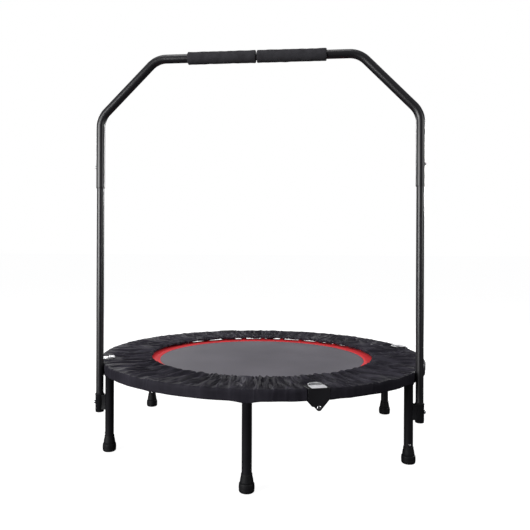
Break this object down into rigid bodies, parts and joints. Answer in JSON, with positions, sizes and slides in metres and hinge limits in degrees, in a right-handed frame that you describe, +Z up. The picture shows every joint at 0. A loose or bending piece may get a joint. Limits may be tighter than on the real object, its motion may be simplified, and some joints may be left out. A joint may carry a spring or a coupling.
{
  "type": "mini trampoline",
  "caption": "Round folding mini trampoline with a spring-hung woven mat, fabric skirt, screw-in legs with rubber feet and a U-shaped handrail with foam grips.",
  "frame": {"origin": "on the floor under the centre of the mat, at the centre of the bounding box's bottom face", "axes": "+Z up, along the legs and the handrail's poles; the handrail stands on the -Y side, in a plane across X"},
  "size_m": [1.016, 1.02, 1.152],
  "materials": {
    "black_steel": "satin black powder coat",
    "rubber": "matt black moulded rubber",
    "zinc": "bright zinc plate",
    "spring_steel": "bright zinc plated spring wire",
    "black_plastic": "matt black moulded plastic",
    "foam": "matt black closed-cell foam",
    "woven_mat": "dark grey woven polypropylene",
    "red_webbing": "red woven webbing",
    "polyester": "black woven polyester, gathered"
  },
  "bodies": {
    "frame_front": {"frame_arc_front_left": "black_steel", "frame_arc_front_right": "black_steel", "leg_front_left": "black_steel", "foot_front_left": "rubber", "leg_front": "black_steel", "foot_front": "rubber", "leg_front_right": "black_steel", "foot_front_right": "rubber", "hinge_channel_front": "black_steel", "hinge_channel_right": "black_steel", "hinge_channel_left": "black_steel", "hinge_leaf_front": "black_steel", "hinge_pin_front": "zinc", "hinge_pin_right": "zinc", "hinge_pin_left": "zinc", "hinge_plate_front": "zinc", "hinge_plate_right": "zinc", "hinge_plate_left": "zinc", "handle_pole_left": "black_steel", "handle_pole_right": "black_steel", "handle_socket_left": "black_plastic", "handle_socket_right": "black_plastic", "clamp_bolt_left": "zinc", "clamp_bolt_right": "zinc", "pole_plug_left": "black_plastic", "pole_plug_right": "black_plastic", "skirt_front": "polyester", "springs_front_left": "spring_steel", "springs_front_right": "spring_steel"},
    "frame_rear": {"frame_arc_rear_left": "black_steel", "frame_arc_rear_right": "black_steel", "leg_rear_right": "black_steel", "foot_rear_right": "rubber", "leg_rear": "black_steel", "foot_rear": "rubber", "leg_rear_left": "black_steel", "foot_rear_left": "rubber", "hinge_channel_rear": "black_steel", "hinge_leaf_rear": "black_steel", "hinge_leaf_right": "black_steel", "hinge_leaf_left": "black_steel", "hinge_pin_rear": "zinc", "skirt_rear": "polyester", "springs_rear_left": "spring_steel", "springs_rear_right": "spring_steel"},
    "mat_front": {"mat_front": "woven_mat", "border_band_front": "red_webbing"},
    "mat_rear": {"mat_rear": "woven_mat", "border_band_rear": "red_webbing"},
    "handle": {"handle_tube_left": "black_steel", "handle_tube_right": "black_steel", "grip_left": "foam", "grip_right": "foam", "rail_joiner": "black_steel"},
    "button_left": {"snap_button_left": "zinc"},
    "button_right": {"snap_button_right": "zinc"}
  },
  "joints": [
    {"name": "frame_fold", "type": "hinge", "parent": "frame_front", "child": "frame_rear", "pos_m": [0, 0, 0.2065], "axis": [-0.9397, -0.342, 0], "range_deg": [0, 105]},
    {"name": "mat_bounce", "type": "slide", "parent": "frame_front", "child": "mat_front", "axis": [0, 0, -1], "range_m": [0, 0.035], "stiffness_N_per_m": 4000, "springref_m": -0.005, "deforming": ["springs_front_left", "springs_front_right", "springs_rear_right", "springs_rear_left"]},
    {"name": "mat_fold", "type": "hinge", "parent": "mat_front", "child": "mat_rear", "pos_m": [0, 0, 0.2065], "axis": [-0.9397, -0.342, 0], "range_deg": [0, 105]},
    {"name": "handle_height", "type": "slide", "parent": "frame_front", "child": "handle", "axis": [0, 0, 1], "range_m": [-0.09, 0]},
    {"name": "button_press_left", "type": "slide", "parent": "handle", "child": "button_left", "axis": [1, 0, 0], "range_m": [0, 0.003], "stiffness_N_per_m": 800, "springref_m": -0.002},
    {"name": "button_press_right", "type": "slide", "parent": "handle", "child": "button_right", "axis": [-1, 0, 0], "range_m": [0, 0.003], "stiffness_N_per_m": 800, "springref_m": -0.002}
  ],
  "couplings": [
    {"joint": "mat_fold", "follows": "frame_fold", "ratio": 1}
  ]
}
